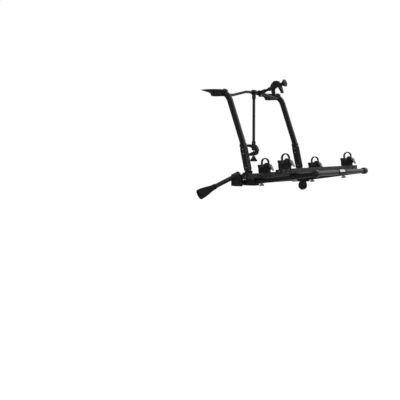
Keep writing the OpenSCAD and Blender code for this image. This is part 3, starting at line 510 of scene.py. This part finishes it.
def straps():
    """Ratchet straps, from the trough in an arch and down through the buckle, with a guard."""
    strap_pitch, guard_pitch = 1.6, 2.2
    guard_width, guard_thickness = STRAP_WIDTH + 3, 8
    guard_right_leg, guard_left_leg = 12, 4
    for holder in HOLDERS:
        node, body = f"strap_{holder}", f"holder_{holder}"
        place = holder_place(holder)
        low, high = local_box(node, place)
        middle = (low.y + high.y) / 2
        anchor = min(point.z for point in local_points(node, place) if point.y > middle)
        r = (high.y - low.y - STRAP_THICKNESS) / 2
        top = high.z - STRAP_THICKNESS / 2 - r
        path = even_path(loop_path(middle, top, r, anchor, low.z, steps=36), strap_pitch)
        strap = Shape()
        strap.band(path, place, STRAP_WIDTH, STRAP_THICKNESS, tooth=1.0, margin=4, taper=3)
        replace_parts(strap.done(f"ratchet_strap_{holder}", body, "black_strap"), node)
        path = even_path(loop_path(middle, top, r - guard_thickness / 2, top - guard_right_leg,
                                   top - guard_left_leg, steps=30), guard_pitch)
        guard = Shape()
        guard.band(path, place, guard_width, guard_thickness, tooth=0.8, margin=2, taper=2,
                   pitch=4)
        guard.done(f"strap_guard_{holder}", body, "black_rubber")


def holder_fittings():
    """Ribbed liner in the trough of each holder, soft pads on its cheeks and the buckle's pins."""
    trough = [(21.4, 45), (17.6, 37.4), (12.2, 25.4), (7, 19.6), (0, 17.8), (-6.8, 19.9),
              (-10.7, 26), (-15.4, 42.5), (-20.3, 59)]

    # Both pads have the same face towards the middle, and differ in the rest of the outline
    face = [(15.5, 36), (11.6, 40), (10.6, 50), (10.6, 62), (11.6, 70), (14.4, 76.5), (19, 81)]
    left_rest = [(-24.6, 82.6), (-29, 81.6), (-29, 79), (-22.5, 58), (-18, 43)]
    right_rest = [(19.4, 44)]

    pin_head = [(5, 0), (5, 1), (4.2, 1.8), (1, 2)]
    liner_width, liner_thickness, liner_pitch, pad_width = 61, 5, 2.4, 52
    for holder in HOLDERS:
        body = f"holder_{holder}"
        place = holder_place(holder)
        liner = Shape()
        liner.band(even_path(smooth_path(trough), liner_pitch), place, liner_width,
                   liner_thickness, tooth=1.3, margin=3)
        liner.done(f"wheel_liner_{holder}", body, "black_rubber")
        pads = Shape()
        pads.block([(-y, z) for y, z in face] + left_rest, place, pad_width)
        pads.block(face + right_rest, place, pad_width)
        pads.done(f"wheel_pads_{holder}", body, "grey_rubber", bevel=1.5)
        half_width = local_box(f"buckle_{holder}", place)[1].x
        pins = Shape()
        for end in (-1, 1):
            pins.turned(pin_head, shifted(place, end * half_width, -LEVER_OUT, LEVER_UP,
                                          90 * end, "Y"))
        pins.done(f"buckle_pins_{holder}", body, "bright_steel")


def jaw_pads():
    """Grooved rubber pads on the inside of both jaws of each claw."""
    fixed = [(12, 5), (15, 12), (17.3, 20.5), (22.5, 24.4), (32, 27.4), (46, 30), (62, 32.5),
             (79, 34.5)]
    seat = [(80, 36), (56, 37), (36, 36.5), (21, 30.5), (12.5, 19), (8.5, 8)]
    moving = [(74, -37), (54, -34.5), (38, -30), (27, -24.8)]
    width, thickness, pitch = JAW_WIDTH - 8, 4, 2
    for arm in ARMS:
        place = arm_place(arm)
        bottom = local_box(f"{arm}_arm_jaw", place)[0].z
        root = shifted(place, z=bottom + JAW_ROOT)
        for name, body, path in (("fixed_pad", f"{arm}_arm", fixed),
                                 ("moving_pad", f"{arm}_moving_jaw", moving)):
            pad = Shape()
            pad.band(even_path(smooth_path(path), pitch), root, width, thickness, tooth=1.4,
                     margin=2)
            if path is fixed:
                pad.block(fixed + seat, root, width)
            pad.done(f"{arm}_{name}", body, "black_rubber")


def knob_grips():
    """Soft lobed grip round the wide end of each claw's knob."""
    profile = [(28, 1.5), (33, 1), (35.2, 2.4), (35.6, 5), (35.2, 8), (32.6, 12), (28.6, 19),
               (24.2, 26), (20.6, 31.5), (17, 33), (15, 30), (24, 12)]
    steps, lobes, lobe_depth = 96, 8, 0.03
    for arm in ARMS:
        place = arm_place(arm)
        bottom = local_box(f"{arm}_arm_knob", place)[0].z
        rings = []
        for a in full_turn(steps):
            swell = 1 + lobe_depth * math.cos(lobes * a)
            rings.append([(r * swell * math.cos(a), r * swell * math.sin(a), bottom + z)
                          for r, z in profile])
        grip = Shape()
        grip.skin(rings, place, joined=True)
        grip.done(f"{arm}_knob_grip", f"{arm}_knob", "black_rubber")


def arm_fasteners():
    """Screw across the slit of each arm's clamp, and the cap in its knob."""
    screw_r, head_height, nut_height, screw_inset = 5.5, 5, 4, 7
    cap_profile = [(17, -0.5), (17, 0.6), (15.5, 1.4), (13, 1.4), (12.4, 0.8), (6, 1.2), (1, 1.3)]
    for arm in ARMS:
        place = arm_place(arm)
        y = local_box(f"{arm}_arm_clamp", place)[1].y - screw_inset
        screw = Shape()
        screw.socket_screw(shifted(place, 0, y, CLAMP_EAR), screw_r, head_height)
        screw.hex_nut(shifted(place, 0, y, -CLAMP_EAR, 180, "X"), screw_r, nut_height)
        screw.done(f"{arm}_clamp_screw", f"{arm}_arm", "bright_steel")
        bottom = local_box(f"{arm}_arm_knob", place)[0].z
        cap = Shape()
        cap.turned(cap_profile, shifted(place, z=bottom, turn=180, axis="X"), steps=48)
        cap.done(f"{arm}_knob_cap", f"{arm}_knob", "grey_rubber")


def sleeve_fittings():
    """Screws through the sides of each lower sleeve, and the drawn ribs on its faces."""
    rib = [(-0.6, -5.2), (1.0, -4.4), (1.5, -3), (1.5, 3), (1.0, 4.4), (-0.6, 5.2)]
    screw_r, head_height, rib_sunk, rib_bevel = 5.5, 3, 0.2, 0.4
    for side in SIDES:
        place = sleeve_place(side)
        low, high = local_box(f"lower_sleeve_{side}", place)
        screw_heights = (0.62 * high.z, 0.3 * high.z, 0.72 * low.z)
        screws = Shape()
        for end in (-1, 1):
            x = end * (high.x - TUBE_WALL)
            for z in screw_heights:
                screws.socket_screw(shifted(place, x, 0, z, 90 * end, "Y"), screw_r, head_height)
        screws.done(f"sleeve_screws_{side}", "frame", "bright_steel")
        height = high.z - low.z
        rib_length = 0.84 * height - 8
        rib_middle = (low.z + high.z) / 2 - 0.04 * height
        rib_x = 0.45 * high.x
        ribs = Shape()
        for face, y in ((-1, low.y), (1, high.y)):
            for x in (-rib_x, rib_x):
                run = shifted(place, x, y - face * rib_sunk, rib_middle, 90, "Y")
                ribs.block([(face * out, across) for out, across in rib], run, rib_length)
        ribs.done(f"sleeve_ribs_{side}", "frame", "black_rail", bevel=rib_bevel)


def welds():
    """Weld beads where the top crossbar meets the uprights."""
    steps, ripples, ripple_depth = 72, 24, 0.5
    bead_r, bead_out, bead_inward = 3.4, 0.6, 1.6
    low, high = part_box("top_crossbar")
    r = (high.y - low.y) / 2
    beads = Shape()
    for x in (low.x, high.x):
        place = axes((x, (low.y + high.y) / 2, low.z + r), BACK, RIGHT)
        inward = -1 if x > 0 else 1
        middle = r * MM_PER_METRE + bead_out
        rings = []
        for a in full_turn(steps):
            bead = bead_r + ripple_depth * math.cos(ripples * a)
            rings.append([((middle + bead * u) * math.cos(a), (middle + bead * u) * math.sin(a),
                           inward * (bead_inward + bead * v)) for u, v in circle(1, steps=8)])
        beads.skin(rings, place, joined=True)
    beads.done("crossbar_welds", "frame", "black_tube", sharp=60)


def foot_treads():
    """Rings and spokes in the sole of each foot, and the bands around its neck."""
    sole_depth, ring_count, ring_thickness = 6, 5, 1.4
    spokes, spoke_width, spoke_low, spoke_high = 12, 2, -1, 1.6
    neck_r, neck_thickness, neck_heights = 24.6, 1.6, (6, 12)
    for side in SIDES:
        place = foot_place(side)
        low, high = local_box(f"foot_{side}", place)
        start, end = 0.15 * high.x, 0.76 * high.x
        sole = high.z - sole_depth
        tread = Shape()
        for k in range(1, ring_count + 1):
            tread.ring(start * k, ring_thickness, shifted(place, z=sole))
        for k in range(spokes):
            tread.block([(start, spoke_low), (end, spoke_low), (end, spoke_high),
                         (start, spoke_high)],
                        shifted(place, z=sole, turn=360 / spokes * k), spoke_width)
        for z in neck_heights:
            tread.ring(neck_r, neck_thickness, shifted(place, z=low.z + z))
        tread.done(f"foot_tread_{side}", f"foot_arm_{side}", "black_rubber")


def arm_plugs():
    """Domed plug in the open end of each foot arm."""
    wall, depth = 3.2, 6
    for side in SIDES:
        node = f"foot_arm_{side}"
        place = foot_place(side)
        points = local_points(node, place)
        bottom = min(point.z for point in points)
        r = max(math.hypot(point.x, point.y) for point in points if point.z < bottom + 1)
        profile = [(r - wall, -depth), (r - wall, 0.1), (r - 0.6, 0.1), (r - 0.8, 1.4),
                   (r - 3, 2.6), (0.5 * r, 3.2), (1, 3.4)]
        plug = Shape()
        plug.turned(profile, shifted(place, z=bottom, turn=180, axis="X"), steps=48)
        plug.done(f"foot_arm_plug_{side}", node, "black_moulding")


def rail_inserts():
    """Ribbed rubber strips on the floor of each rail, clear of the sliding holders."""
    # Where each strip starts and ends, to the right of its rail's middle
    ends = {"inner_rail": (-200, 462), "outer_rail": (-512, 478)}
    width, thickness, pitch = 40, 2, 3.5
    for rail in RAILS:
        start, end = ends[rail]
        low, high = local_box(rail, PLATFORM)
        middle = Vector((0, (low.y + high.y) / 2, low.z + RAIL_FLOOR + thickness / 2))
        place = axes(PLATFORM @ middle, PLATFORM_TURN @ -BACK, PLATFORM_TURN @ UP)
        insert = Shape()
        insert.band(even_path([(start, 0), (end, 0)], pitch), place, width, thickness,
                    tooth=1.5, margin=3, pitch=3)
        insert.done(f"{rail}_insert", "platform", "black_rubber")


def bar_plate():
    """Blank pale plate on the outer face of the centre sleeve."""
    low, high = local_box("centre_sleeve", PLATFORM)
    start, end = low.x + 6, low.x + 98
    first_angle, last_angle = 180 - 4, 180 - 54
    sunk, proud = 0.2, 1.1
    r = (high.y - low.y) / 2
    middle_y, middle_z = (low.y + high.y) / 2, (low.z + high.z) / 2
    section = [(start, r - sunk), (end, r - sunk), (end, r + proud), (start, r + proud)]
    rings = [[(x, middle_y + q * math.cos(a), middle_z + q * math.sin(a)) for x, q in section]
             for a in arc_angles(first_angle, last_angle, steps=14)]
    plate = Shape()
    plate.skin(rings, PLATFORM)
    plate.done("sleeve_plate", "platform", "pale_plate", bevel=0.4)


def crossbar_plate():
    """Blank pale strip on the lower crossbar, left of the left upright."""
    # Its place in metres, and its size in millimetres
    middle_x, below_top, proud = -0.5375, 0.0195, 0.0002
    length, half_height, front, back = 70, 6.5, -0.8, 0.4
    low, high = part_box("lower_crossbar")
    place = axes((middle_x, low.y - proud, high.z - below_top), RIGHT, UP)
    plate = Shape()
    plate.block([(front, -half_height), (back, -half_height), (back, half_height),
                 (front, half_height)], place, length)
    plate.done("crossbar_plate", "frame", "pale_plate", bevel=0.4)


def latch_ribs():
    """Finger ribs on the latch lever, and the screws of its housing."""
    # Places in metres, and sizes in millimetres
    first_rib, rib_pitch, rib_in = 0.016, 0.0048, 0.0046
    screw_up, screw_in = 0.016, 0.0002
    rib_r, rib_length, screw_r, head_height = 1.5, 78, 4.5, 2.4

    # Number of ribs, and the screws' share of the housing's half width
    rib_count, screw_share = 6, 0.86
    low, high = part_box("latch_lever")
    ribs = Shape()
    for k in range(rib_count):
        place = axes((0, low.y + rib_in, low.z + first_rib + rib_pitch * k), RIGHT, UP)
        ribs.block(circle(rib_r, steps=10), place, rib_length)
    ribs.done("latch_ribs", "latch", "grey_lever")
    low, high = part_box("latch_housing")
    screws = Shape()
    for x in (low.x, high.x):
        place = axes((screw_share * x, low.y + screw_in, low.z + screw_up), RIGHT, -BACK)
        screws.socket_screw(place, screw_r, head_height)
    screws.done("latch_screws", "frame", "bright_steel")


def end_screws():
    """Screw in each rail's end cap, and the ring around each cap of the outer bar."""
    screw_r, head_height, sunk = 4.2, 2, 0.3
    ring_out, ring_thickness, ring_past_end = 3.1, 0.9, 4
    cap_end = local_box("end_caps", PLATFORM)[1].x - sunk
    bar_low, bar_high = local_box("outer_bar", PLATFORM)
    bar = (bar_low + bar_high) / 2
    screws, rings = Shape(), Shape()
    for end in (-1, 1):
        for rail in RAILS:
            middle = middle_of(rail, PLATFORM)
            place = shifted(PLATFORM, end * cap_end, middle.y, middle.z, 90 * end, "Y")
            screws.socket_screw(place, screw_r, head_height)
        place = shifted(PLATFORM, end * (bar_high.x + ring_past_end), bar.y, bar.z, 90, "Y")
        rings.ring(bar.z - bar_low.z + ring_out, ring_thickness, place)
    screws.done("end_cap_screws", "platform", "bright_steel")
    rings.done("bar_cap_rings", "platform", "black_moulding")


def wing_fittings():
    """Washer under each wing bolt, and the moulded web between its wings."""
    washer = [(11, -0.3), (11, -1.6), (10.4, -2), (6, -2)]
    outline = [(-15, -20), (-6, -8), (6, -8), (15, -20), (13, -22), (-13, -22)]
    web_thickness, web_bevel = 7, 1.2
    for which in ("inner", "outer"):
        for side in SIDES:
            body = f"wing_bolt_{which}_{side}"
            place = joint_place(f"{body}_turn")
            ring = Shape()
            ring.turned(washer, place, steps=40)
            ring.done(f"{body}_washer", body, "bright_steel")
            web = Shape()
            web.block(outline, shifted(place, turn=WING_TURN), web_thickness)
            web.done(f"{body}_web", body, "wing_grey", bevel=web_bevel)


# Studio

# The camera's place in metres, its turn from the back to the right and its dip in degrees,
# and its lens and sensor in millimetres
CAMERA_PLACE = (-6.923, -4.423, -0.406)
CAMERA_HEADING = 54.42
CAMERA_DIP = 3.95
CAMERA_LENS = 76.94
CAMERA_SENSOR = 36

# The lamps' places, widths and powers, and the point that they all aim at
LAMPS = {"key": ((-4.2, -4.9, 0.9), 2.2, 170),
         "top": ((-1.5, -1.5, 4.2), 3.0, 80),
         "fill": ((4.0, -3.0, 2.0), 4.0, 50)}
LIT_POINT = Vector((0, -0.5, -0.5))

# The floor's height and half its width, and what it adds to its shade for the camera
FLOOR_HEIGHT = -1.84
FLOOR_REACH = 30.0
FLOOR_GLOW = 0.62

# The dome's strength as light, and as what the camera and gloss see
DOME_LIGHT = 0.5
DOME_SEEN = 1.0


def turned_along(direction):
    """Turn of a camera or lamp that looks along a direction."""
    return direction.to_track_quat("-Z", "Y").to_euler()


def camera():
    """Camera at the photograph's viewing angle."""
    heading, dip = math.radians(CAMERA_HEADING), math.radians(CAMERA_DIP)
    ahead = Vector((math.sin(heading) * math.cos(dip), math.cos(heading) * math.cos(dip),
                    -math.sin(dip)))
    data = bpy.data.cameras.new("camera")
    data.lens, data.sensor_width = CAMERA_LENS, CAMERA_SENSOR
    view = bpy.data.objects.new("camera", data)
    view.location = CAMERA_PLACE
    view.rotation_euler = turned_along(ahead)
    bpy.context.scene.collection.objects.link(view)
    bpy.context.scene.camera = view


def lamp(name, place, size, power):
    """Round soft lamp that aims at the lit point."""
    data = bpy.data.lights.new(name, "AREA")
    data.shape, data.size, data.energy = "DISK", size, power
    light = bpy.data.objects.new(name, data)
    light.location = place
    light.rotation_euler = turned_along(LIT_POINT - Vector(place))
    bpy.context.scene.collection.objects.link(light)


def floor():
    """Wide pale floor at ground level, well below the rack."""
    data = bpy.data.meshes.new("floor")
    corners = [(x * FLOOR_REACH, y * FLOOR_REACH, FLOOR_HEIGHT)
               for x, y in ((-1, -1), (1, -1), (1, 1), (-1, 1))]
    data.from_pydata(corners, [], [(0, 1, 2, 3)])
    piece = bpy.data.objects.new("floor", data)
    bpy.context.scene.collection.objects.link(piece)
    nodes = Finish("floor")
    tone = nodes.noise(0.4)
    nodes.feed(nodes.surface, {"Base Color": nodes.blend(tone, grey(0.86), grey(0.9)),
                               "Roughness": 0.9, "Specular IOR Level": 0.1,
                               "Emission Color": nodes.ray("Camera") * FLOOR_GLOW,
                               "Emission Strength": 1.0})
    piece.data.materials.append(nodes.material)


def world():
    """White to the camera and to gloss, and a soft grey dome as light."""
    sky = bpy.data.worlds.new("studio")
    bpy.context.scene.world = sky
    nodes = Nodes(sky)
    seen = nodes.ray("Camera").at_least(nodes.ray("Transmission")).at_least(nodes.ray("Glossy"))
    nodes.feed(nodes.tree.nodes["Background"],
               {"Color": (1, 1, 1, 1), "Strength": seen * (DOME_SEEN - DOME_LIGHT) + DOME_LIGHT})


def studio():
    """Plain soft light, a pale floor and the camera."""
    bpy.context.scene.view_settings.view_transform = "Standard"
    camera()
    floor()
    world()
    for name, (place, size, power) in LAMPS.items():
        lamp(name, place, size, power)


studio()
dress_nodes()
straps()
holder_fittings()
jaw_pads()
knob_grips()
arm_fasteners()
sleeve_fittings()
welds()
foot_treads()
arm_plugs()
rail_inserts()
bar_plate()
crossbar_plate()
latch_ribs()
end_screws()
wing_fittings()
